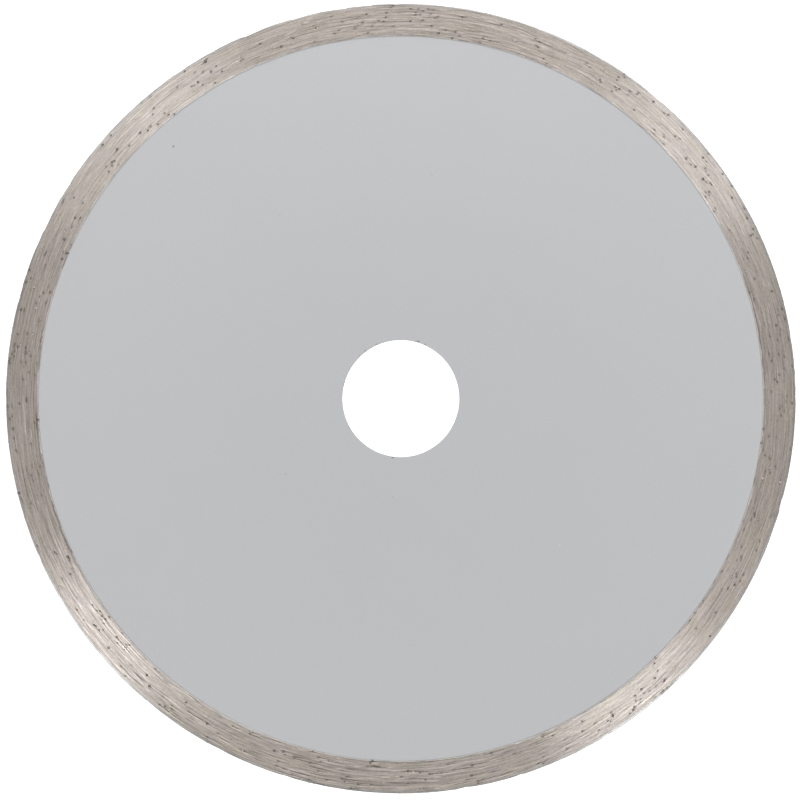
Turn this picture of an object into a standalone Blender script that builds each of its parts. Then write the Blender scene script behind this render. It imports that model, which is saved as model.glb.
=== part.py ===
"""Continuous-rim diamond blade, 150 mm across, for a 22.23 mm arbor.

A flat steel core carries one unbroken ring of sintered metal bond filled with
diamond grit. The core's outer edge is cut into small dovetail keys. The bond
is pressed and sintered round that edge, so the ring grips the keys from
outside and a thin lip of bond lies over them on both faces.

The blade lies flat. The origin is the centre of the arbor bore at mid
thickness, and +Z runs along the bore axis out of the front face.
Units are metres.
"""

import math

import bmesh
import bpy
from mathutils import Vector

# ---------------------------------------------------------------- dimensions
OUTER_DIAMETER = 0.150        # over the diamond rim
BORE_DIAMETER = 0.02223       # 7/8 in arbor
CORE_THICKNESS = 0.0016       # tensioned steel blank
RIM_THICKNESS = 0.0022        # kerf cut by the rim, wider than the core
RIM_BAND = 0.00615            # width of bond seen on each face
RIM_HEIGHT = 0.0050           # solid bond outside the keys, the working height

KEY_COUNT = 72                # dovetail keys round the core's edge
KEY_DEPTH = 0.00085           # root to tip
KEY_TIP_SHARE = 0.60          # share of the pitch taken by a key at its tip
KEY_ROOT_SHARE = 0.46         # share at its root; less than the tip, so it locks
KEY_CLEARANCE = 0.00005       # core to bond all round, keeps the solids apart
EDGE_RELIEF = 0.00010         # the keyed edge is ground thinner by this on each face

BORE_CHAMFER = 0.00015        # both ends of the bore
RIM_CORNER_RADIUS = 0.00030   # rim's outer corners
LIP_CHAMFER = 0.00010         # rim's inner corners, on the core's faces

DISC_STEPS = 180              # facets round every turned surface
CORNER_STEPS = 3              # facets in each rounded rim corner

OUTER_RADIUS = OUTER_DIAMETER / 2
BORE_RADIUS = BORE_DIAMETER / 2
RIM_INNER_RADIUS = OUTER_RADIUS - RIM_BAND
KEY_TIP_RADIUS = OUTER_RADIUS - RIM_HEIGHT
KEY_ROOT_RADIUS = KEY_TIP_RADIUS - KEY_DEPTH
SHOULDER_RADIUS = RIM_INNER_RADIUS - KEY_CLEARANCE


# ------------------------------------------------------------------- helpers
def empty_scene():
    for obj in list(bpy.data.objects):
        bpy.data.objects.remove(obj, do_unlink=True)


def new_collection(name):
    collection = bpy.data.collections.new(name)
    bpy.context.scene.collection.children.link(collection)
    return collection


def link_new_object(name, data, collection):
    obj = bpy.data.objects.new(name, data)
    collection.objects.link(obj)
    return obj


def principled(name, colour, metallic, roughness):
    material = bpy.data.materials.new(name)
    material.use_nodes = True
    shader = material.node_tree.nodes["Principled BSDF"]
    shader.inputs["Base Color"].default_value = (*colour, 1.0)
    shader.inputs["Metallic"].default_value = metallic
    shader.inputs["Roughness"].default_value = roughness
    return material


def turned(name, profile, collection):
    """Turn a closed (radius, height) profile about Z.

    The profile runs down the outer side and back up the inner side.
    """
    mesh = bpy.data.meshes.new(name)
    count = len(profile)
    mesh.from_pydata([(r, 0.0, z) for r, z in profile],
                     [(i, (i + 1) % count) for i in range(count)], [])
    obj = link_new_object(name, mesh, collection)
    screw = obj.modifiers.new("turn", "SCREW")
    screw.axis = "Z"
    screw.angle = math.tau
    screw.steps = DISC_STEPS
    screw.render_steps = DISC_STEPS
    screw.use_merge_vertices = True
    screw.merge_threshold = 0.00001
    return obj


def apply_modifiers(obj):
    """Replace the object's mesh by its evaluated mesh, without modifiers."""
    graph = bpy.context.evaluated_depsgraph_get()
    mesh = bpy.data.meshes.new_from_object(obj.evaluated_get(graph))
    mesh.name = obj.name
    obj.modifiers.clear()
    obj.data = mesh


def extruded_outline(name, points, thickness, collection):
    """Prism of a closed flat outline, centred on Z = 0, as a cutter mesh."""
    curve = bpy.data.curves.new(name + "_outline", "CURVE")
    curve.dimensions = "2D"
    curve.fill_mode = "BOTH"
    curve.extrude = thickness / 2
    spline = curve.splines.new("POLY")
    spline.points.add(len(points) - 1)
    for point, (x, y) in zip(spline.points, points):
        point.co = (x, y, 0.0, 1.0)
    spline.use_cyclic_u = True
    flat = link_new_object(name + "_outline", curve, collection)
    graph = bpy.context.evaluated_depsgraph_get()
    mesh = bpy.data.meshes.new_from_object(flat.evaluated_get(graph))
    mesh.name = name
    shape = bmesh.new()
    shape.from_mesh(mesh)
    bmesh.ops.remove_doubles(shape, verts=shape.verts, dist=0.000001)
    bmesh.ops.recalc_face_normals(shape, faces=shape.faces)
    shape.to_mesh(mesh)
    shape.free()
    obj = link_new_object(name, mesh, collection)
    obj.matrix_world = flat.matrix_world.copy()
    bpy.data.objects.remove(flat, do_unlink=True)
    return obj


def as_cutter(obj):
    obj.hide_render = True
    obj.display_type = "WIRE"


def combine(obj, cutter, operation):
    boolean = obj.modifiers.new(cutter.name, "BOOLEAN")
    boolean.operation = operation
    boolean.solver = "EXACT"
    boolean.object = cutter
    apply_modifiers(obj)


def finish(obj, material, parent):
    mesh = obj.data
    mesh.materials.clear()
    mesh.materials.append(material)
    mesh.shade_smooth()
    mesh.set_sharp_from_angle(angle=math.radians(25))
    obj.parent = parent


# -------------------------------------------------------------- keyed outline
def keyed_outline(offset=0.0):
    """The core's toothed edge, counter-clockwise; offset moves it outwards."""
    pitch = math.tau / KEY_COUNT
    corners = []
    for key in range(KEY_COUNT):
        middle = key * pitch
        # Root land before the key, then the flank up, the tip and back down.
        for radius, share in ((KEY_ROOT_RADIUS, -KEY_ROOT_SHARE),
                              (KEY_TIP_RADIUS, -KEY_TIP_SHARE),
                              (KEY_TIP_RADIUS, 0.0),
                              (KEY_TIP_RADIUS, KEY_TIP_SHARE),
                              (KEY_ROOT_RADIUS, KEY_ROOT_SHARE)):
            angle = middle + share * pitch / 2
            corners.append(Vector((radius * math.cos(angle),
                                   radius * math.sin(angle))))
        # One point in the middle of the root land keeps it round.
        angle = middle + pitch / 2
        corners.append(Vector((KEY_ROOT_RADIUS * math.cos(angle),
                               KEY_ROOT_RADIUS * math.sin(angle))))
    if offset == 0.0:
        return [(p.x, p.y) for p in corners]
    moved = []
    for i, here in enumerate(corners):
        before = (here - corners[i - 1]).normalized()
        after = (corners[(i + 1) % len(corners)] - here).normalized()
        normal_a = Vector((before.y, -before.x))
        normal_b = Vector((after.y, -after.x))
        mitre = (normal_a + normal_b).normalized()
        moved.append(here + mitre * (offset / mitre.dot(normal_a)))
    return [(p.x, p.y) for p in moved]


# --------------------------------------------------------------------- pieces
def core_profile():
    """Flat disc with a chamfered bore, wider than the keys it is cut to.

    Both faces stop at a low shoulder just inside the rim. Beyond it the edge
    is thinner, and the lips of the rim lie over it.
    """
    half = CORE_THICKNESS / 2
    thin = half - EDGE_RELIEF
    edge = KEY_TIP_RADIUS + 0.001
    return [(BORE_RADIUS + BORE_CHAMFER, half),
            (SHOULDER_RADIUS, half),
            (SHOULDER_RADIUS, thin),
            (edge, thin),
            (edge, -thin),
            (SHOULDER_RADIUS, -thin),
            (SHOULDER_RADIUS, -half),
            (BORE_RADIUS + BORE_CHAMFER, -half),
            (BORE_RADIUS, -half + BORE_CHAMFER),
            (BORE_RADIUS, half - BORE_CHAMFER)]


def rim_profile():
    """Ring section: rounded outer corners, small chamfers on the inner lips."""
    half = RIM_THICKNESS / 2
    radius = RIM_CORNER_RADIUS
    points = [(RIM_INNER_RADIUS, half - LIP_CHAMFER),
              (RIM_INNER_RADIUS + LIP_CHAMFER, half)]
    for step in range(CORNER_STEPS + 1):
        turn = math.pi / 2 * (1 - step / CORNER_STEPS)
        points.append((OUTER_RADIUS - radius + radius * math.cos(turn),
                       half - radius + radius * math.sin(turn)))
    lower = [(r, -z) for r, z in reversed(points)]
    return points + lower


def build():
    empty_scene()
    parts = new_collection("diamond_blade")
    cutters = new_collection("cutters")
    axis = link_new_object("arbor_axis", None, parts)
    axis.empty_display_type = "SINGLE_ARROW"
    axis.empty_display_size = 0.02

    paint = principled("core_paint", (0.533, 0.533, 0.546), 0.0, 0.45)
    bond = principled("sintered_bond", (0.440, 0.398, 0.361), 1.0, 0.42)

    # Keyed steel core: a bored disc cut to the toothed outline.
    edge = extruded_outline("key_outline", keyed_outline(),
                            CORE_THICKNESS * 3, cutters)
    as_cutter(edge)
    core = turned("steel_core", core_profile(), parts)
    apply_modifiers(core)
    combine(core, edge, "INTERSECT")
    finish(core, paint, axis)

    # Sintered rim: a ring with a groove that takes the keyed edge.
    groove = extruded_outline("rim_groove", keyed_outline(KEY_CLEARANCE),
                              CORE_THICKNESS - 2 * EDGE_RELIEF
                              + 2 * KEY_CLEARANCE, cutters)
    as_cutter(groove)
    rim = turned("diamond_rim", rim_profile(), parts)
    apply_modifiers(rim)
    combine(rim, groove, "DIFFERENCE")
    finish(rim, bond, axis)


build()
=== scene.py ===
"""Looks of the 150 mm continuous-rim diamond blade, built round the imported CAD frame.

The blade lies flat on a pale floor and the camera looks straight down on its
front face. Lengths are metres in the CAD frame: Z is the bore axis and the
origin is the bore's centre at mid thickness.
"""
import math

import bmesh
import bpy
import numpy as np
from mathutils import Matrix, Vector


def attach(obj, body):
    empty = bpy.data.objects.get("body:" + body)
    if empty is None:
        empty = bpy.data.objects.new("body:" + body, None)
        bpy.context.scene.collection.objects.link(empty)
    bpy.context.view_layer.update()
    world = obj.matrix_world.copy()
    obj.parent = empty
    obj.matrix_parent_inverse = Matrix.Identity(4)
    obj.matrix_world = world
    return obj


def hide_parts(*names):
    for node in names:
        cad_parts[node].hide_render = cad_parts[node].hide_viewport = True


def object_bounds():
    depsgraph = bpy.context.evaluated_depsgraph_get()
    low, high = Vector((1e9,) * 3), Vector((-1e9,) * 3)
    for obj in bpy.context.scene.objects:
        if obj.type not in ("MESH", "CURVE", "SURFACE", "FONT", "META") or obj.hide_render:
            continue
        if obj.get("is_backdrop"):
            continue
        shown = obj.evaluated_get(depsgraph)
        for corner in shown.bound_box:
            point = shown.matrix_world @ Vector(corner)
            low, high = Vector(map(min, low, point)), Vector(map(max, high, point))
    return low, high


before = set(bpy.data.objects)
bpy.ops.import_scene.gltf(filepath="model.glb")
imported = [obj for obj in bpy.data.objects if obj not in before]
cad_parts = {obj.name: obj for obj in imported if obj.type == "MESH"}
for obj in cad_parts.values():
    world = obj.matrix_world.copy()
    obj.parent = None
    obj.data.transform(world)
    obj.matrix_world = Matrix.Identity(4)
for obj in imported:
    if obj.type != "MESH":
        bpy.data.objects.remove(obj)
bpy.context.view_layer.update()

MM = 0.001
TAU = math.tau

# ------------------------------------------------------------ sizes, from CAD
def radii(node):
    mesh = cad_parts[node].data
    co = np.empty(len(mesh.vertices) * 3, np.float32)
    mesh.vertices.foreach_get("co", co)
    co = co.reshape(-1, 3).astype(float)
    r = np.hypot(co[:, 0], co[:, 1])
    return float(r.min()), float(r.max()), float(co[:, 2].max())


R_IN, R_OUT, HALF = radii("diamond_rim")          # 68.85, 75, 1.1 mm
BORE_R, KEY_TIP_R, CORE_HALF = radii("steel_core")  # 11.115, 70, 0.8 mm
KEY_COUNT, KEY_DEPTH = 72, 0.85 * MM              # dovetail keys, as in the CAD
TIP_SHARE, ROOT_SHARE = 0.60, 0.46

EDGE_RELIEF = 0.10 * MM   # each face of the keyed edge lies this much lower
CLEARANCE = 0.05 * MM     # from the core's face to the ring's bore

COLUMNS = 980             # facets round the rim
SEAM_COLUMNS = 10         # from one seam across the rim to the next
ROW = 0.15 * MM           # pitch of the rows across the rim's front
BACK_ROW = 0.20 * MM      # and across its back
EDGE_ROW = 0.22 * MM      # and down its outer edge
CORNER_WIDE = 0.22 * MM   # the rim's outer corners are rounded this far in
CORNER_DEEP = 0.20 * MM   # and this far down
LIP = ((-0.043, 0.785), (-0.034, 0.825), (0.0, 0.905), (0.055, 0.995),
       (0.125, 1.058), (0.20, 1.090))   # mm past the bore's wall, and height
FACE_START = 0.30 * MM    # past the bore's wall, the face is flat
TRAIL = 1                 # the tails run this way round (+1: counter-clockwise)
LINE_GAP = 1.25           # rows from a scratch's floor to its burr
LONG_LINES, SHORT_LINES, BURRS = 0.0100, 0.022, 0.0100    # for each point of the face
# Clock angle, half width and how much more marked the scratches are there: partly uneven wear, partly
# painted shade and highlight made stronger where the light brings the scratches out, at the top and
# bottom.
BUSY = ((195, 38, 1.05), (0, 24, 0.34), (150, 16, -0.16), (236, 22, 0.04), (329, 11, -0.25))


# --------------------------------------------------------------------- colours
BOND_WARM = (0.440, 0.392, 0.353)
BOND_PINK = (0.455, 0.400, 0.376)
BOND_OLIVE = (0.428, 0.387, 0.333)
BOND_COOL = (0.394, 0.377, 0.359)
# The paint on the lip, lighter than the core's own paint: painted light that lifts the shade of the
# steep lip.
LIP_PAINT_PAINTED_LIGHTER = (0.490, 0.483, 0.470)
PAINT = (0.415, 0.411, 0.417)
WEAR_AND_PAINTED_SHADE_TONE = 0.25
ROUGH_LOW, ROUGH_HIGH = 0.29, 0.37
# Specks in the paint of the front: x, y and size in mm, how strong, how light.
SPECKS = ((-43.2, 47.9, 0.22, 0.75, 0.12), (-23.0, 34.7, 0.18, 0.25, 0.15),
          (-21.9, -14.3, 0.18, 0.30, 0.15), (-1.5, -18.7, 0.16, 0.28, 0.15),
          (5.9, 42.4, 0.16, 0.25, 0.15), (30.2, -27.8, 0.12, 0.45, 0.85))

# --------------------------------------------------------------------- studio
FLOOR_GLOW = 0.50
SKY_LOW, SKY_HIGH = 0.35, 0.825
COOL = (0.955, 1.0, 1.045)
PLAIN = (1.0, 1.0, 1.0)
# name, clock, tilt, distance, width, height, watts, tint
SOFTBOXES = (("lower_right", 142.3, 38, 1.30, 0.30, 0.30, 3.14, COOL),
             ("lower_left", 231.6, 38, 1.30, 0.30, 0.30, 2.87, COOL),
             ("upper_left", 313, 40, 0.60, 0.22, 0.15, 0.295, COOL),
             ("lower_right_wide", 120, 38, 1.30, 0.30, 0.30, 0.36, PLAIN),
             ("upper_right", 34, 40, 0.60, 0.15, 0.15, 0.145, COOL),
             ("upper_right_far", 50, 34, 0.90, 0.20, 0.20, 0.35, COOL),
             ("top", 10, 40, 0.30, 0.25, 0.08, 0.082, PLAIN),
             ("top_low", 2, 68, 0.28, 0.25, 0.08, 0.160, PLAIN))

# -------------------------------------------------------------------- helpers
def mesh_object(name, points, faces, smooth=True):
    mesh = bpy.data.meshes.new(name)
    points = np.asarray(points, np.float32)
    faces = np.asarray(faces, np.int32)
    sides = faces.shape[1]
    mesh.vertices.add(len(points))
    mesh.vertices.foreach_set("co", points.ravel())
    mesh.loops.add(faces.size)
    mesh.loops.foreach_set("vertex_index", faces.ravel())
    mesh.polygons.add(len(faces))
    mesh.polygons.foreach_set("loop_start",
                              np.arange(0, faces.size, sides, dtype=np.int32))
    mesh.update(calc_edges=True)
    mesh.validate()
    if smooth:
        mesh.shade_smooth()
    obj = bpy.data.objects.new(name, mesh)
    bpy.context.scene.collection.objects.link(obj)
    return obj


def torus_grid(rows, columns):
    """Quads of a closed tube: rows run round the section, columns round Z."""
    j, i = np.meshgrid(np.arange(rows), np.arange(columns), indexing="ij")
    a = j * columns + i
    b = j * columns + (i + 1) % columns
    c = ((j + 1) % rows) * columns + (i + 1) % columns
    d = ((j + 1) % rows) * columns + i
    return np.stack([a, b, c, d], -1).reshape(-1, 4)


def blur_round(field, sigma):
    """Gaussian blur along the last axis, which wraps."""
    n = field.shape[-1]
    freq = np.fft.rfftfreq(n)
    gain = np.exp(-2 * (math.pi * freq * sigma) ** 2)
    return np.fft.irfft(np.fft.rfft(field, axis=-1) * gain, n, axis=-1)


def unit(field):
    return (field - field.mean()) / field.std()


def keyed_outline(offset):
    """The core's toothed edge, counter-clockwise, moved outwards by offset."""
    pitch = TAU / KEY_COUNT
    root = KEY_TIP_R - KEY_DEPTH
    corners = []
    for key in range(KEY_COUNT):
        for radius, share in ((root, -ROOT_SHARE), (KEY_TIP_R, -TIP_SHARE),
                              (KEY_TIP_R, 0.0), (KEY_TIP_R, TIP_SHARE),
                              (root, ROOT_SHARE), (root, 1.0)):
            angle = key * pitch + share * pitch / 2
            corners.append(Vector((radius * math.cos(angle),
                                   radius * math.sin(angle))))
    moved = []
    for i, here in enumerate(corners):
        before = (here - corners[i - 1]).normalized()
        after = (corners[(i + 1) % len(corners)] - here).normalized()
        na = Vector((before.y, -before.x))
        nb = Vector((after.y, -after.x))
        mitre = (na + nb).normalized()
        moved.append(here + mitre * (offset / mitre.dot(na)))
    return moved


def keyed_prism(name, offset, half):
    """A closed prism of the toothed outline, used as a cutter and then removed.

    Its ends are split into sectors, which leave radial edges where it cuts.
    """
    outline = np.array([p[:] for p in keyed_outline(offset)])
    count = len(outline)
    at = np.arange(count)
    after = (at + 1) % count
    flat = np.vstack([outline, [(0.0, 0.0)]])
    points = np.vstack([np.column_stack([flat, np.full(count + 1, z)]) for z in (-half, half)])
    top = count + 1                       # the upper end's first point
    faces = [(at[i], after[i], top + after[i], top + at[i]) for i in at]
    for first in range(0, count, 6):      # one sector of each end for each key
        sector = [(first - 1 + k) % count for k in range(7)]
        faces.append([top + k for k in sector] + [top + count])
        faces.append([count] + sector[::-1])
    mesh = bpy.data.meshes.new(name)
    mesh.from_pydata(points.tolist(), [], [[int(v) for v in face] for face in faces])
    mesh.update()
    obj = bpy.data.objects.new(name, mesh)
    bpy.context.scene.collection.objects.link(obj)
    return obj


def cut(obj, cutter, operation):
    boolean = obj.modifiers.new("cut", "BOOLEAN")
    boolean.operation = operation
    boolean.solver = "EXACT"
    boolean.object = cutter
    graph = bpy.context.evaluated_depsgraph_get()
    mesh = bpy.data.meshes.new_from_object(obj.evaluated_get(graph))
    mesh.name = obj.name
    obj.modifiers.clear()
    obj.data = mesh
    gone = cutter.data
    bpy.data.objects.remove(cutter, do_unlink=True)
    bpy.data.meshes.remove(gone)


def mark_seams(obj, *pitches):
    """Seams along the edges that lie on radial lines, at each of these pitches in radians.

    They split a ring into short patches, so that an unwrap keeps it sharp.
    """
    mesh = obj.data
    co = np.empty(len(mesh.vertices) * 3, np.float32)
    mesh.vertices.foreach_get("co", co)
    co = co.reshape(-1, 3).astype(float)
    angle = np.arctan2(co[:, 1], co[:, 0]) % TAU
    ends = np.empty(len(mesh.edges) * 2, np.int32)
    mesh.edges.foreach_get("vertices", ends)
    first, second = ends.reshape(-1, 2).T
    seam = np.zeros(len(mesh.edges), bool)
    for pitch in pitches:
        station = np.round(angle / pitch).astype(int)
        held = np.abs(angle - station * pitch) < 2e-5
        station %= round(TAU / pitch)
        seam |= held[first] & held[second] & (station[first] == station[second])
    mesh.edges.foreach_set("use_seam", seam)
    mesh.update()


# ------------------------------------------------------------ where grit shows
def scatter(rng, count, low, high, tight=0.17, loose=0.20):
    """Grit over a band round the axis: (across, angle) pairs, some in clusters."""
    gap = 0.31 * MM
    placed = np.empty((count, 2))
    done = tries = 0
    while done < count and tries < count * 60:
        tries += 1
        pick = rng.random()
        if done and pick < tight + loose:
            near = placed[rng.integers(done)]
            spread = 0.34 * MM if pick < tight else 1.0 * MM
            across = near[0] + rng.normal(0, spread)
            angle = near[1] + rng.normal(0, spread * 1.3) / R_OUT
        else:
            across = rng.uniform(low, high)
            angle = rng.uniform(0, TAU)
        if not low <= across <= high:
            continue
        angle %= TAU
        if done:
            away = np.abs(placed[:done, 1] - angle)
            away = np.minimum(away, TAU - away) * R_OUT
            if np.hypot(away, placed[:done, 0] - across).min() < gap:
                continue
        placed[done] = across, angle
        done += 1
    return placed[:done]


# ------------------------------------------------------------------ rim, bond
def rim_section():
    """The ring's section as (r, z, part) rows, from the front lip round to the back one."""
    lip = [(R_IN + r * MM, z * MM, "lip") for r, z in LIP]
    start, stop = R_IN + FACE_START, R_OUT - CORNER_WIDE
    front = np.linspace(start, stop, round((stop - start) / ROW) + 1)
    back = np.linspace(start, stop, round((stop - start) / BACK_ROW) + 1)
    corner = []
    for turn in (72.0, 54.0, 36.0, 18.0):
        a = math.radians(turn)
        corner.append((R_OUT - CORNER_WIDE + CORNER_WIDE * math.cos(a),
                       HALF - CORNER_DEEP + CORNER_DEEP * math.sin(a), "corner"))
    flat = HALF - CORNER_DEEP
    edge = np.linspace(flat, -flat, round(2 * flat / EDGE_ROW) + 1)
    rows = lip + [(r, HALF, "front") for r in front] + corner
    rows += [(R_OUT, z, "edge") for z in edge]
    rows += [(r, -z, "corner") for r, z, _ in reversed(corner)]
    rows += [(r, -HALF, "back") for r in reversed(back)]
    rows += [(r, -z, "lip") for r, z, _ in reversed(lip)]
    return rows, front, edge, back


def stroke(height, tone, row, column, length, raised, shade, fall, drift=0.0):
    """A line from column on, over the rows below, at and above its own.

    raised and shade give the height and tone of each, and drift is how many
    rows the line wanders over its length.
    """
    count, columns = height.shape
    steps = np.arange(length)
    where = (column + TRAIL * steps) % columns
    path = row + drift * steps / length
    for side, (up, light) in enumerate(zip(raised, shade)):
        at = path + (side - 1) * LINE_GAP
        low = np.floor(at).astype(int)
        for k, share in ((low, 1 - (at - low)), (low + 1, at - low)):
            held = (k >= 0) & (k < count)
            height[k[held], where[held]] += (up * fall * share)[held]
            tone[k[held], where[held]] += (light * fall * share)[held]


def busy_round():
    """How marked the scratches are round the rim: partly uneven wear, partly painted shade and
    highlight made stronger where the light brings the scratches out.
    """
    clock = 90.0 - np.degrees(np.arange(COLUMNS) * TAU / COLUMNS)
    level = np.full(COLUMNS, 0.80)
    for middle, wide, more in BUSY:
        away = np.abs((clock - middle + 180) % 360 - 180)
        level += more * np.exp(-(away / wide) ** 2)
    return level


def worn_face_and_painted_shade(lines, grains, rng, outward, strength=1.0):
    """The dressed face of the bond: its height in metres and its tone, row by column.

    Fine scratches run round the axis, with painted shade in their grooves and a
    painted highlight on their burrs. Behind each grain the bond stands in a tail
    with a painted shade line on the grain's own row and a painted highlight on its
    outward side, and before it there is a small pit, darkened with painted shade.
    outward is +1 where the rows run outwards.
    """
    shape = (len(lines), COLUMNS)
    height = np.zeros(shape)
    tone = np.zeros(shape)
    busy = busy_round()
    tails = (0.45 + 0.75 * (busy - 0.75)).clip(0.35, 1.05)
    step = TAU / COLUMNS * R_OUT

    def noise(blur, mix=0):
        field = blur_round(rng.standard_normal(shape), blur)
        if mix:
            field = field + mix * (np.roll(field, 1, 0) + np.roll(field, -1, 0))
        return unit(field)

    def line(row, column, length, raised, shade, fall, drift=0.0):
        if outward < 0:
            raised, shade = raised[::-1], shade[::-1]
        lit = busy[column]
        stroke(height, tone, row, column, length, [strength * MM * up for up in raised],
               [lit * light for light in shade], fall, drift)

    height += strength * MM * (0.0045 * noise(2.5) + 0.0045 * noise(7.0)
                               + 0.0028 * noise(20.0, 0.8))
    tone += busy * (0.24 * noise(2.0) + 0.18 * noise(9.0))

    # Long scratches, fading at both ends.
    for _ in range(int(LONG_LINES * lines.size * COLUMNS)):
        row = rng.uniform(-0.5, lines.size - 0.5)
        column = rng.integers(0, COLUMNS)
        length = int(np.clip(rng.gamma(3.0, 1.7), 1.6, 13.0) * MM / step)
        fall = np.sin(math.pi * (np.arange(length) + 0.5) / length) ** 0.5
        deep = rng.uniform(0.012, 0.036)
        dark = rng.uniform(0.6, 1.9)
        bright = dark * rng.uniform(0.2, 0.95)
        # The tone gives each scratch painted shade in its groove and a painted highlight along its
        # burr, and each ridge a painted highlight along its top.
        if rng.random() < 0.36:     # a ridge, bright along its top
            raised, shade = [0.0, 0.8 * deep, 0.0], [-0.25 * dark, 0.85 * dark, -0.1 * dark]
        else:                       # a scratch with a burr on its outward side
            raised, shade = [0.0, -deep, 0.6 * deep], [0.15 * dark, -dark, bright]
        line(row, column, length, raised, shade, fall, rng.normal(0, 0.7))

    # Short dashes, dark and light: painted shade in the dark ones, painted highlight along the light
    # ones.
    for _ in range(int(SHORT_LINES * lines.size * COLUMNS)):
        row = rng.uniform(-0.5, lines.size - 0.5)
        column = rng.integers(0, COLUMNS)
        length = max(2, int(rng.uniform(0.7, 2.8) * MM / step))
        fall = (1 - np.arange(length) / length) ** 0.5
        deep = rng.uniform(0.006, 0.026)
        dark = rng.uniform(0.3, 1.3) * (1 if rng.random() < 0.6 else -0.8)
        line(row, column, length, [0.0, -deep * np.sign(dark), 0.3 * deep],
             [0.0, -dark, dark * rng.uniform(0, 0.5)], fall, rng.normal(0, 0.3))

    # Thin burrs, with a painted highlight along each and painted shade at its sides.
    for _ in range(int(BURRS * lines.size * COLUMNS)):
        row = rng.uniform(-0.5, lines.size - 0.5)
        length = max(2, int(rng.uniform(0.6, 2.4) * MM / step))
        fall = np.sin(math.pi * (np.arange(length) + 0.5) / length) ** 0.4
        bright = rng.uniform(0.9, 2.2)
        line(row, rng.integers(0, COLUMNS), length, [-0.010, rng.uniform(0.014, 0.030), -0.006],
             [-0.35 * bright, bright, -0.15 * bright], fall, rng.normal(0, 0.3))

    settled = []
    for place, angle in grains:
        row = int(np.argmin(np.abs(lines - place)))
        column = int(round(angle / TAU * COLUMNS)) % COLUMNS
        length = max(4, int(min(1.3 + rng.gamma(2.2, 0.95), 7.5) * MM / step))
        fall = (1 - np.arange(length) / length) ** 0.6
        tall = rng.uniform(0.024, 0.046)
        dark = rng.uniform(0.8, 2.3) * tails[column]
        # Each tail's tone is a painted shade line with a painted highlight on its outward side, and the
        # pit round the grain is darkened with painted shade.
        line(row, column, length, [0.1 * tall, -0.6 * tall, tall],
             [0.1 * dark, -dark, dark * rng.uniform(0.4, 1.0)], fall, rng.normal(0, 0.4))
        for k, i, pit in ((0, 0, 1.0), (-1, 0, 0.65), (1, 0, 0.65), (0, -1, 0.2), (0, 1, 0.2)):
            if 0 <= row + k < lines.size:
                at = (column + TRAIL * i) % COLUMNS
                tone[row + k, at] -= 1.5 * pit
                if i <= 0:
                    height[row + k, at] -= strength * 0.022 * MM * pit
        settled.append((row, column))

    # Pits where a grain has been pulled out, darkened with painted shade.
    for _ in range(int(0.0035 * lines.size * COLUMNS)):
        row = rng.integers(0, lines.size)
        column = rng.integers(0, COLUMNS)
        height[row, column] -= strength * rng.uniform(0.01, 0.03) * MM
        tone[row, column] -= rng.uniform(0.4, 1.2)
    return height, tone.clip(-3.0, 2.6), settled


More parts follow.
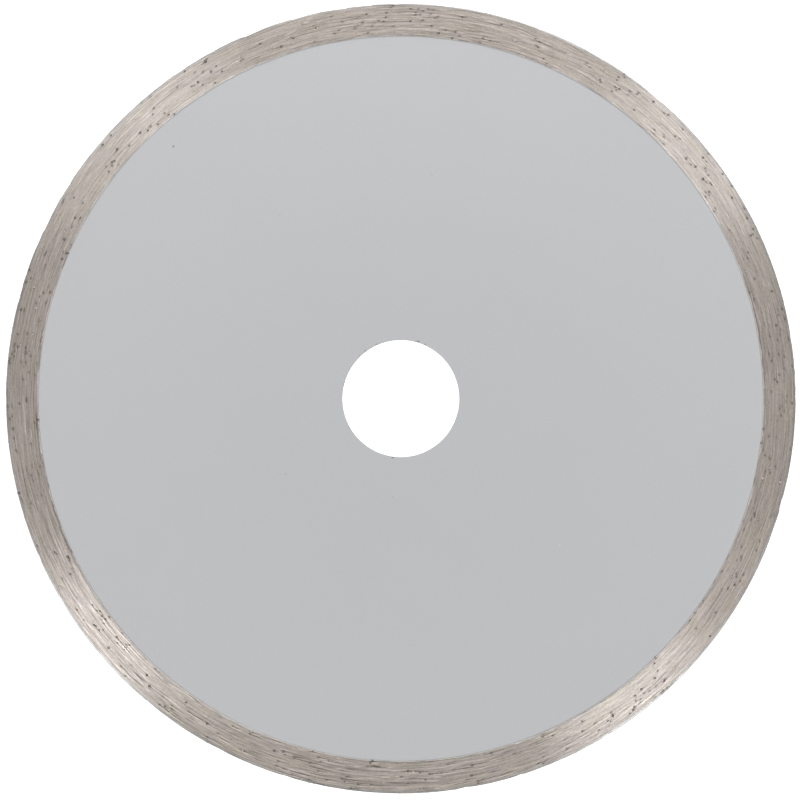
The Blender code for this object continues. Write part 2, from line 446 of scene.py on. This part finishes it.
def build_rim(rng):
    rows, front, edge, back = rim_section()
    count = len(rows)
    theta = np.arange(COLUMNS) * TAU / COLUMNS
    index = {part: [k for k, row in enumerate(rows) if row[2] == part]
             for part in ("front", "edge", "back", "corner", "lip")}
    back_lines = back[::-1]

    across = (R_IN + 0.17 * MM, R_OUT - 0.20 * MM)
    grains = {"front": scatter(rng, 500, *across),
              "back": scatter(rng, 480, *across),
              "edge": scatter(rng, 150, -HALF + 0.42 * MM, HALF - 0.42 * MM)}
    height = np.zeros((count, COLUMNS))
    tone = np.zeros((count, COLUMNS))
    settled = {}
    for part, lines, outward, strength in (("front", front, 1, 1.0), ("edge", edge, 1, 1.0),
                                           ("back", back_lines, -1, 1.0)):
        worn = worn_face_and_painted_shade(lines, grains[part], rng, outward, strength)
        height[index[part]], tone[index[part]], settled[part] = worn

    # The corners carry on the nearest row, fainter; the lips have their own speckle.
    for side in (1, -1):
        lips = [k for k in index["lip"] if rows[k][1] * side > 0]
        corners = [k for k in index["corner"] if rows[k][1] * side > 0]
        for k in lips + corners:
            speckle = unit(blur_round(rng.standard_normal(COLUMNS), 1.5))
            long = unit(blur_round(rng.standard_normal(COLUMNS), 8.0))
            tone[k] = 0.22 * speckle + 0.20 * long
        # Where the dressing wheel's path ends, a broken line runs along the lip.
        # It wanders between the lip and the first row of the face.
        edges = [max(lips, key=lambda k: rows[k][0]),
                 index["front"][0] if side > 0 else index["back"][-1]]
        worn = unit(blur_round(rng.standard_normal(COLUMNS), 12.0))
        over = (unit(blur_round(rng.standard_normal(COLUMNS), 20.0)) * 0.8 + 0.5).clip(0, 1)
        for k, share in zip(edges, (1 - over, over)):
            tone[k] -= 1.5 * share * (worn + 0.2).clip(0, 1.2)

    # The ring's outline and its inner lip aren't perfectly round.
    nick = unit(blur_round(rng.standard_normal(COLUMNS), 1.2))
    wave = unit(blur_round(rng.standard_normal(COLUMNS), 14))
    outline = -0.009 * MM * np.abs(nick) ** 1.6 - 0.007 * MM * (wave + 1.5).clip(0)
    for at in rng.integers(0, COLUMNS, 30):
        deep = rng.uniform(0.03, 0.09) * MM
        width = rng.integers(1, 3)
        for k in range(-width, width + 1):
            outline[(at + k) % COLUMNS] -= deep * (1 - abs(k) / (width + 1))
    for at in rng.integers(0, COLUMNS, 18):     # shallow steps where the edge has worn
        deep = rng.uniform(0.04, 0.13) * MM
        length = int(rng.integers(4, 15))
        side = 1 if rng.random() < 0.5 else -1
        for k in range(length):
            outline[(at + side * k) % COLUMNS] -= deep * (1 - k / length)
    lip = (0.040 * unit(blur_round(rng.standard_normal(COLUMNS), 1.8))
           + 0.035 * unit(blur_round(rng.standard_normal(COLUMNS), 9))).clip(-0.11, 0.11) * MM

    r0 = np.array([r for r, _, _ in rows])[:, None]
    z0 = np.array([z for _, z, _ in rows])[:, None]
    nr = np.array([part == "edge" for _, _, part in rows], float)[:, None]
    nz = np.array([{"front": 1, "back": -1}.get(part, 0) for _, _, part in rows], float)[:, None]
    r = r0 + nr * height
    z = z0 + nz * height
    # Nicks reach the edge and corners in full and fade over the faces, and the
    # lip's waver fades out both at its foot, by the core, and over the face.
    share = ((r0 - (R_OUT - 0.9 * MM)) / (0.9 * MM)).clip(0, 1) ** 2
    r = r + share * outline[None, :]
    foot = ((r0 - R_IN) / (0.22 * MM)).clip(0, 1)
    fade = ((R_IN + 1.3 * MM - r0) / (0.8 * MM)).clip(0, 1)
    r = r + foot * fade * lip[None, :]

    x = r * np.cos(theta)[None, :]
    y = r * np.sin(theta)[None, :]
    points = np.stack([x, y, z + 0 * x], -1).reshape(-1, 3)
    rim = mesh_object("rim_bond", points, torus_grid(count, COLUMNS)[:, ::-1])
    layer = rim.data.attributes.new("tone", "FLOAT", "POINT")
    layer.data.foreach_set("value", tone.astype(np.float32).ravel())
    cut(rim, keyed_prism("groove", 0.01 * MM, CORE_HALF - EDGE_RELIEF + 0.01 * MM), "DIFFERENCE")
    rim.data.shade_smooth()
    rim.data.set_sharp_from_angle(angle=math.radians(50))
    mark_seams(rim, SEAM_COLUMNS * TAU / COLUMNS, 3 * TAU / KEY_COUNT / 2)

    places = {}
    for part, lines in (("front", front), ("back", back_lines), ("edge", edge)):
        found = []
        for (line, _), (row, column) in zip(grains[part], settled[part]):
            k = index[part][row]
            angle = column * TAU / COLUMNS + rng.normal(0, 0.06 * MM) / R_OUT
            if part == "edge":
                radius = R_OUT + outline[column] - 0.03 * MM
                found.append(((radius * math.cos(angle), radius * math.sin(angle), line),
                              (math.cos(angle), math.sin(angle), 0.0)))
                continue
            # Over a lip or a corner the face falls away below the grain.
            side = 1.0 if part == "front" else -1.0
            profile = [(a, abs(b)) for a, b, p in rows if b * side > 0 and p != "edge"]
            profile.sort()
            level = float(np.interp(line, [a for a, _ in profile], [b for _, b in profile]))
            found.append(((line * math.cos(angle), line * math.sin(angle), side * level),
                          (0.0, 0.0, side)))
        places[part] = found
    return rim, places


# ----------------------------------------------------------------- diamond grit
def crystal():
    """A cube with its corners cut off, as synthetic grit grows: unit size."""
    shape = bmesh.new()
    bmesh.ops.create_cube(shape, size=1.0)
    bmesh.ops.bevel(shape, geom=list(shape.verts), offset=0.30,
                    offset_type="OFFSET", affect="VERTICES", segments=1,
                    profile=0.5)
    bmesh.ops.triangulate(shape, faces=shape.faces)
    shape.verts.ensure_lookup_table()
    points = np.array([v.co[:] for v in shape.verts])
    faces = np.array([[v.index for v in f.verts] for f in shape.faces])
    shape.free()
    return points, faces


def build_grit(name, grains, rng):
    """One crystal for each place, mostly buried; three finishes, from dark to clear."""
    base, tris = crystal()
    reach = float(np.linalg.norm(base, axis=1).max())
    points, faces, kinds = [], [], []
    for at, (place, normal) in enumerate(grains):
        size = float(np.clip(rng.normal(0.39, 0.06), 0.26, 0.52)) * MM
        turn = Matrix.Rotation(rng.uniform(0, TAU), 3, Vector(rng.standard_normal(3)).normalized())
        stretch = np.array([rng.uniform(0.85, 1.15) for _ in range(3)])
        local = (base * stretch * size) @ np.array(turn).T
        proud = rng.uniform(0.05, 0.13) * MM
        top = float((local @ np.array(normal)).max())
        centre = np.array(place) + np.array(normal) * (proud - top)
        points.append(local + centre)
        faces.append(tris + at * len(base))
        kinds += [int(rng.choice(3, p=(0.55, 0.33, 0.12)))] * len(tris)
    obj = mesh_object(name, np.concatenate(points), np.concatenate(faces), smooth=False)
    return obj, kinds


# ------------------------------------------------------------------ core blank
# Chips in the paint on the bore's front edge, darkened as painted shade in the nicks:
# clockwise from the top, degrees, from, to, how deep.
CHIPS = ((15.0, 18.6, 1.0), (22.8, 25.4, 0.65), (60.0, 61.5, 0.3), (186.5, 189.3, 1.0),
         (321.8, 325.0, 0.7), (335.0, 337.2, 0.75), (315.3, 317.2, 0.5),
         (283.0, 284.5, 0.35), (112.0, 113.2, 0.3), (240.0, 241.5, 0.35))


def build_core(rng):
    columns = 900
    theta = np.arange(columns) * TAU / columns
    clock = (90.0 - np.degrees(theta)) % 360.0
    chip = np.zeros(columns)
    for low, high, deep in CHIPS:
        middle, half = (low + high) / 2, (high - low) / 2
        away = np.abs((clock - middle + 180) % 360 - 180)
        chip = np.maximum(chip, deep * (1 - (away / half).clip(0, 1) ** 2))
    rough = unit(blur_round(rng.standard_normal(columns), 1.5))
    fine = 0.006 * MM * rough

    edge = KEY_TIP_R + 0.8 * MM
    fillet = 0.12 * MM
    shoulder = R_IN - CLEARANCE
    rows = [(edge, CORE_HALF - EDGE_RELIEF, 0.0),
            (shoulder + 0.012 * MM, CORE_HALF - EDGE_RELIEF, 0.0),
            (shoulder, CORE_HALF - EDGE_RELIEF + 0.02 * MM, 0.0),
            (shoulder, CORE_HALF - 0.03 * MM, 0.0),
            (shoulder - 0.03 * MM, CORE_HALF, 0.0)]
    for r in (68.0 * MM, 66.0 * MM, 60 * MM, 50 * MM, 40 * MM, 30 * MM, 22 * MM,
              17 * MM, 14 * MM, 12.6 * MM, 12.0 * MM, 11.7 * MM, 11.5 * MM, 11.36 * MM):
        rows.append((r, CORE_HALF, 0.0))
    for turn in (90.0, 67.5, 45.0, 22.5, 0.0):
        a = math.radians(turn)
        rows.append((BORE_R + fillet - fillet * math.cos(a),
                     CORE_HALF - fillet + fillet * math.sin(a), 1.0))
    wall = [(BORE_R, z * MM, 0.4) for z in (0.5, 0.25, 0.0)]
    rows += wall
    rows += [(r, -z, w) for r, z, w in reversed(rows[:-1])]
    r0 = np.array([r for r, _, _ in rows])[:, None]
    z0 = np.array([z for _, z, _ in rows])[:, None]
    w0 = np.array([w for _, _, w in rows])[:, None]
    near = np.exp(-((r0 - BORE_R - fillet) / (0.10 * MM)) ** 2)
    r = r0 + w0 * (fine[None, :] + 0.02 * MM * chip[None, :])
    z = z0 - near * 0.05 * MM * chip[None, :] * (z0 > 0)
    x = r * np.cos(theta)[None, :]
    y = r * np.sin(theta)[None, :]
    points = np.stack([x, y, z + 0 * x], -1).reshape(-1, 3)
    core = mesh_object("core_painted", points, torus_grid(len(rows), columns))
    # The chips' mask, which the paint material darkens as painted shade.
    reach = ((BORE_R + 0.40 * MM - r0) / (0.18 * MM)).clip(0, 1)
    bare = chip[None, :] * (z0 > 0.4 * MM) * reach
    layer = core.data.attributes.new("chip_and_shade", "FLOAT", "POINT")
    layer.data.foreach_set("value", bare.astype(np.float32).ravel())
    cut(core, keyed_prism("blank_edge", 0.0, CORE_HALF * 3), "INTERSECT")
    core.data.shade_smooth()
    core.data.set_sharp_from_angle(angle=math.radians(38))
    return core


# ------------------------------------------------------------------- materials
class Nodes:
    """Short-hand for building a material's node tree."""

    def __init__(self, name):
        self.material = bpy.data.materials.new(name)
        self.material.use_nodes = True
        self.tree = self.material.node_tree
        self.shader = self.tree.nodes["Principled BSDF"]

    def put(self, kind, **settings):
        node = self.tree.nodes.new(kind)
        for key, value in settings.items():
            setattr(node, key, value)
        return node

    def join(self, source, target):
        self.tree.links.new(source, target)

    def maths(self, operation, a, b=None, c=None, clamp=False):
        node = self.put("ShaderNodeMath", operation=operation, use_clamp=clamp)
        for socket, value in zip(node.inputs, (a, b, c)):
            if value is None:
                continue
            if isinstance(value, (int, float)):
                socket.default_value = value
            else:
                self.join(value, socket)
        return node.outputs[0]

    def ramp(self, value, low, high, to_low=0.0, to_high=1.0):
        node = self.put("ShaderNodeMapRange", interpolation_type="SMOOTHSTEP")
        self.join(value, node.inputs["Value"])
        node.inputs["From Min"].default_value = low
        node.inputs["From Max"].default_value = high
        node.inputs["To Min"].default_value = to_low
        node.inputs["To Max"].default_value = to_high
        return node.outputs["Result"]

    def blend(self, factor, a, b, mode="MIX"):
        node = self.put("ShaderNodeMix", data_type="RGBA", blend_type=mode)
        for socket, value in ((node.inputs[0], factor), (node.inputs[6], a), (node.inputs[7], b)):
            if isinstance(value, (int, float)):
                socket.default_value = value
            elif isinstance(value, (tuple, list)):
                socket.default_value = (*value, 1.0)
            else:
                self.join(value, socket)
        return node.outputs[2]

    def colour(self, rgb):
        node = self.put("ShaderNodeRGB")
        node.outputs[0].default_value = (*rgb, 1.0)
        return node.outputs[0]

    def tinted(self, colour, tone):
        """The colour times a number."""
        node = self.put("ShaderNodeVectorMath", operation="SCALE")
        self.join(colour, node.inputs[0])
        self.join(tone, node.inputs["Scale"])
        return node.outputs[0]

    def bump(self, height, strength, distance):
        node = self.put("ShaderNodeBump")
        node.inputs["Strength"].default_value = strength
        node.inputs["Distance"].default_value = distance
        self.join(height, node.inputs["Height"])
        self.join(node.outputs[0], self.shader.inputs["Normal"])

    def noise(self, vector, scale=1.0, detail=2.0, roughness=0.5):
        node = self.put("ShaderNodeTexNoise")
        node.inputs["Scale"].default_value = scale
        node.inputs["Detail"].default_value = detail
        node.inputs["Roughness"].default_value = roughness
        self.join(vector, node.inputs["Vector"])
        return node.outputs["Fac"]

    def polar(self):
        """Object space as x/r, y/r, r and z sockets, all in metres but the first two."""
        coord = self.put("ShaderNodeTexCoord")
        split = self.put("ShaderNodeSeparateXYZ")
        self.join(coord.outputs["Object"], split.inputs[0])
        x, y, z = split.outputs
        r = self.maths("SQRT", self.maths("ADD", self.maths("MULTIPLY", x, x),
                                          self.maths("MULTIPLY", y, y)))
        return (self.maths("DIVIDE", x, r), self.maths("DIVIDE", y, r), r, z,
                coord.outputs["Object"])

    def around(self, cx, cy, across, length, width, radius=0.072):
        """Noise space stretched round the axis: features length by width metres."""
        node = self.put("ShaderNodeCombineXYZ")
        s = radius / length
        self.join(self.maths("MULTIPLY", cx, s), node.inputs[0])
        self.join(self.maths("MULTIPLY", cy, s), node.inputs[1])
        self.join(self.maths("DIVIDE", across, width), node.inputs[2])
        return node.outputs[0]


def bond_material():
    """Sintered bronze and iron bond, dressed round the axis, with paint left on the lip; the tone
    carries painted shade and highlight, and the lip is painted lighter to lift its shade.
    """
    n = Nodes("sintered_bond")
    cx, cy, r, z, _ = n.polar()
    across = n.maths("ADD", r, z)       # radius over the faces, height down the edge
    fine = n.noise(n.around(cx, cy, across, 3.0 * MM, 0.16 * MM), detail=2.0)
    broken = n.noise(n.around(cx, cy, across, 0.50 * MM, 0.13 * MM), detail=1.0)
    thin = n.noise(n.around(cx, cy, across, 11.0 * MM, 0.15 * MM), detail=1.0)
    patch = n.noise(n.around(cx, cy, across, 7.0 * MM, 1.6 * MM), detail=3.0, roughness=0.6)
    patch2 = n.noise(n.around(cx, cy, n.maths("ADD", across, 0.3), 5.0 * MM, 1.1 * MM),
                     detail=3.0, roughness=0.6)
    worn = n.put("ShaderNodeAttribute", attribute_type="GEOMETRY", attribute_name="tone")
    worn = worn.outputs["Fac"]

    colour = n.blend(n.ramp(patch, 0.50, 0.68), BOND_WARM, BOND_OLIVE)
    colour = n.blend(n.ramp(patch2, 0.50, 0.68), colour, BOND_PINK)
    rims = n.maths("MAXIMUM", n.ramp(r, R_OUT - 0.75 * MM, R_OUT - 0.30 * MM),
                   n.maths("MULTIPLY", n.ramp(r, R_IN + 0.50 * MM, R_IN + 0.15 * MM), 0.6))
    colour = n.blend(n.maths("MULTIPLY", rims, 0.75), colour, BOND_COOL)
    # The tone attribute brings random tone and the painted shade and painted highlight of the
    # scratches, tails and pits.
    tone = n.maths("MULTIPLY_ADD", worn, WEAR_AND_PAINTED_SHADE_TONE, 1.0)
    tone = n.maths("MULTIPLY_ADD", n.maths("SUBTRACT", fine, 0.5), 0.50, tone)
    tone = n.maths("MULTIPLY_ADD", n.maths("SUBTRACT", thin, 0.5), 0.66, tone)
    tone = n.maths("MULTIPLY_ADD", n.maths("SUBTRACT", broken, 0.5), 0.58, tone)
    colour = n.tinted(colour, tone)

    waver = n.noise(n.around(cx, cy, z, 2.6 * MM, 2.0 * MM), detail=3.0, roughness=0.65)
    reach = n.maths("MULTIPLY_ADD", n.maths("SUBTRACT", waver, 0.5), -0.9 * MM, r)
    paint = n.ramp(reach, R_IN + 0.06 * MM, R_IN - 0.04 * MM)
    paint = n.maths("MULTIPLY", paint, 0.85)
    # The bond on the lip's slope is painted up to 35 % lighter: painted light that lifts the shade of
    # the steep lip.
    lip = n.ramp(reach, R_IN + 0.22 * MM, R_IN + 0.08 * MM)
    colour = n.tinted(colour, n.maths("MULTIPLY_ADD", lip, 0.35, 1.0))
    grey = n.tinted(n.colour(LIP_PAINT_PAINTED_LIGHTER), n.maths("MULTIPLY_ADD", worn, 0.08, 1.0))
    n.join(n.blend(paint, colour, grey), n.shader.inputs["Base Color"])
    # The dressing wheel doesn't reach the lip, which stays dull and rough.
    dull = n.maths("MAXIMUM", paint, n.maths("MULTIPLY", lip, 0.80))
    n.join(n.maths("MULTIPLY_ADD", dull, -1.0, 1.0), n.shader.inputs["Metallic"])

    rough = n.ramp(n.maths("MULTIPLY_ADD", worn, -0.10, fine), 0.3, 0.7, ROUGH_LOW, ROUGH_HIGH)
    n.join(n.maths("MULTIPLY_ADD", dull, 0.30, rough), n.shader.inputs["Roughness"])
    n.shader.inputs["Anisotropic"].default_value = 0.97
    n.shader.inputs["Anisotropic Rotation"].default_value = 0.25
    tangent = n.put("ShaderNodeTangent", direction_type="RADIAL", axis="Z")
    n.join(tangent.outputs[0], n.shader.inputs["Tangent"])

    relief = n.maths("ADD", n.maths("MULTIPLY", fine, 0.6), n.maths("MULTIPLY", thin, 0.4))
    n.bump(relief, 0.35, 0.02 * MM)
    return n.material


def paint_material():
    """Silver-grey paint, matt, with a few specks in it and painted light that makes it lighter towards
    the rim; the bore's wall is bare steel.
    """
    n = Nodes("core_paint")
    cx, cy, r, z, place = n.polar()
    cloud = n.noise(place, scale=60.0, detail=3.0, roughness=0.55)
    grain = n.noise(place, scale=2600.0, detail=2.0, roughness=0.6)
    peel = n.noise(place, scale=750.0, detail=1.0, roughness=0.4)
    flake = n.noise(place, scale=9000.0, detail=1.0)
    tone = n.ramp(cloud, 0.35, 0.65, 0.997, 1.003)
    # Painted light: the paint is 3.6 % lighter at the rim than at the bore, for the brighter light
    # towards the face's rim.
    tone = n.maths("MULTIPLY", tone, n.ramp(r, 12 * MM, 72 * MM, 0.988, 1.024))
    tone = n.maths("MULTIPLY_ADD", n.maths("SUBTRACT", grain, 0.5), 0.115, tone)
    tone = n.maths("MULTIPLY_ADD", n.maths("SUBTRACT", flake, 0.5), 0.10, tone)
    colour = n.tinted(n.colour(PAINT), tone)
    for x, y, size, depth, light in SPECKS:
        offset = n.put("ShaderNodeVectorMath", operation="DISTANCE")
        n.join(place, offset.inputs[0])
        offset.inputs[1].default_value = (x * MM, y * MM, CORE_HALF)
        mark = n.ramp(offset.outputs["Value"], 1.3 * size * MM, 0.5 * size * MM, 0.0, depth)
        colour = n.blend(mark, colour, (light, light * 0.98, light * 0.95))

    # Bare steel inside the bore, with the paint's edge a little ragged.
    chew = n.noise(place, scale=1500.0, detail=3.0, roughness=0.7)
    inner = n.maths("MULTIPLY_ADD", n.maths("SUBTRACT", chew, 0.5), 0.10 * MM, r)
    bare = n.ramp(inner, BORE_R + 0.075 * MM, BORE_R + 0.045 * MM)
    drawn = n.noise(n.around(cx, cy, z, 0.5 * MM, 0.9 * MM, BORE_R), detail=3.0)
    steel = n.tinted(n.colour((0.40, 0.39, 0.38)), n.ramp(drawn, 0.3, 0.7, 0.72, 1.15))
    chip_and_shade = n.put("ShaderNodeAttribute", attribute_type="GEOMETRY", attribute_name="chip_and_shade")
    # The chips are coloured far darker than the bore's bare steel: painted shade in the nicks.
    colour = n.blend(chip_and_shade.outputs["Fac"], colour, (0.11, 0.105, 0.10))
    n.join(n.blend(bare, colour, steel), n.shader.inputs["Base Color"])
    n.join(n.maths("MULTIPLY", bare, 0.9), n.shader.inputs["Metallic"])
    rough = n.ramp(grain, 0.3, 0.7, 0.46, 0.56)
    n.join(n.maths("MULTIPLY_ADD", bare, -0.14, rough), n.shader.inputs["Roughness"])
    n.bump(n.maths("MULTIPLY_ADD", grain, 0.35, peel), 0.10, 0.012 * MM)
    return n.material


def grit_material(name, colour, rough, tint):
    """Synthetic diamond: frosted facets, grey to yellow, embedded in dark bond."""
    n = Nodes(name)
    _, _, _, _, place = n.polar()
    frost = n.noise(place, scale=9000.0, detail=2.0)
    broad = n.noise(place, scale=1400.0, detail=1.0)
    shade = n.blend(n.ramp(broad, 0.40, 0.60), n.colour(colour), n.colour(tint))
    n.join(n.tinted(shade, n.ramp(frost, 0.3, 0.7, 0.85, 1.15)), n.shader.inputs["Base Color"])
    n.shader.inputs["Metallic"].default_value = 0.0
    n.shader.inputs["IOR"].default_value = 1.7
    n.join(n.ramp(frost, 0.3, 0.7, rough, rough + 0.25), n.shader.inputs["Roughness"])
    n.bump(frost, 0.2, 0.01 * MM)
    return n.material


# ----------------------------------------------------------------------- build
rng = np.random.default_rng(20150)
rim, grains = build_rim(rng)
core = build_core(rng)

rim.data.materials.clear()
rim.data.materials.append(bond_material())
core.data.materials.clear()
core.data.materials.append(paint_material())
grits = [grit_material("diamond_dark", (0.092, 0.074, 0.060), 0.30, (0.138, 0.114, 0.092)),
         grit_material("diamond_grey", (0.160, 0.137, 0.114), 0.30, (0.220, 0.192, 0.160)),
         grit_material("diamond_clear", (0.37, 0.35, 0.305), 0.25, (0.48, 0.455, 0.405))]
pieces = [rim, core]
for name, where in (("grit_front", "front"), ("grit_back", "back"), ("grit_edge", "edge")):
    piece, kinds = build_grit(name, grains[where], rng)
    for grit in grits:
        piece.data.materials.append(grit)
    piece.data.polygons.foreach_set("material_index", kinds)
    pieces.append(piece)

for piece in pieces:
    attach(piece, "root")
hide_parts("diamond_rim")
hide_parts("steel_core")

# ----------------------------------------------------------------------- stage
low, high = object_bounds()
floor_mesh = bmesh.new()
bmesh.ops.create_grid(floor_mesh, x_segments=8, y_segments=8, size=4.0)
mesh = bpy.data.meshes.new("floor")
floor_mesh.to_mesh(mesh)
floor_mesh.free()
floor = bpy.data.objects.new("floor", mesh)
bpy.context.scene.collection.objects.link(floor)
floor.location.z = low[2] - 0.005 * MM      # the blade lies on its grit
white = Nodes("floor_white")
white.shader.inputs["Base Color"].default_value = (0.90, 0.90, 0.90, 1.0)
white.shader.inputs["Roughness"].default_value = 0.9
white.shader.inputs["Specular IOR Level"].default_value = 0.1
white.shader.inputs["Emission Color"].default_value = (1, 1, 1, 1)
white.shader.inputs["Emission Strength"].default_value = FLOOR_GLOW
floor.data.materials.append(white.material)
floor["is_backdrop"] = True

scene = bpy.context.scene
scene.view_settings.view_transform = "Standard"
scene.view_settings.look = "None"
scene.view_settings.exposure = 0.0
scene.view_settings.gamma = 1.0

# A white studio, dimmer towards the horizon than overhead.
world = bpy.data.worlds.new("studio")
scene.world = world
world.use_nodes = True
tree = world.node_tree
sky = tree.nodes["Background"]
sky.inputs["Color"].default_value = (1.0, 1.0, 1.0, 1.0)
coord = tree.nodes.new("ShaderNodeTexCoord")
split = tree.nodes.new("ShaderNodeSeparateXYZ")
level = tree.nodes.new("ShaderNodeMapRange")
level.interpolation_type = "SMOOTHSTEP"
level.inputs["From Min"].default_value = 0.15
level.inputs["From Max"].default_value = 0.95
level.inputs["To Min"].default_value = SKY_LOW
level.inputs["To Max"].default_value = SKY_HIGH
tree.links.new(coord.outputs["Generated"], split.inputs[0])
tree.links.new(split.outputs["Z"], level.inputs["Value"])
tree.links.new(level.outputs["Result"], sky.inputs["Strength"])


def softbox(name, clock, tilt, distance, wide, tall, power, tint):
    """An area light aimed at the blade. clock is clockwise from the image's top, tilt from the axis."""
    data = bpy.data.lights.new(name, "AREA")
    data.shape = "RECTANGLE"
    data.size = wide
    data.size_y = tall
    data.energy = power
    data.color = tint
    light = bpy.data.objects.new(name, data)
    scene.collection.objects.link(light)
    azimuth = math.radians(90 - clock)
    t = math.radians(tilt)
    light.location = (distance * math.sin(t) * math.cos(azimuth),
                      distance * math.sin(t) * math.sin(azimuth),
                      distance * math.cos(t))
    light.rotation_euler = light.location.to_track_quat("Z", "Y").to_euler()
    return light


for settings in SOFTBOXES:
    softbox(*settings)

camera_data = bpy.data.cameras.new("camera")
camera_data.type = "PERSP"
camera_data.sensor_width = 36.0
distance = 1.5
camera_data.lens = 36.0 * (distance - HALF) / (2 * R_OUT * 800.0 / 790.0)
camera_data.clip_start, camera_data.clip_end = 0.05, 20.0
camera = bpy.data.objects.new("camera", camera_data)
scene.collection.objects.link(camera)
camera.location = (-0.165 * MM, -0.260 * MM, distance)
camera.rotation_euler = (0.0, 0.0, 0.0)
scene.camera = camera

low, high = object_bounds()
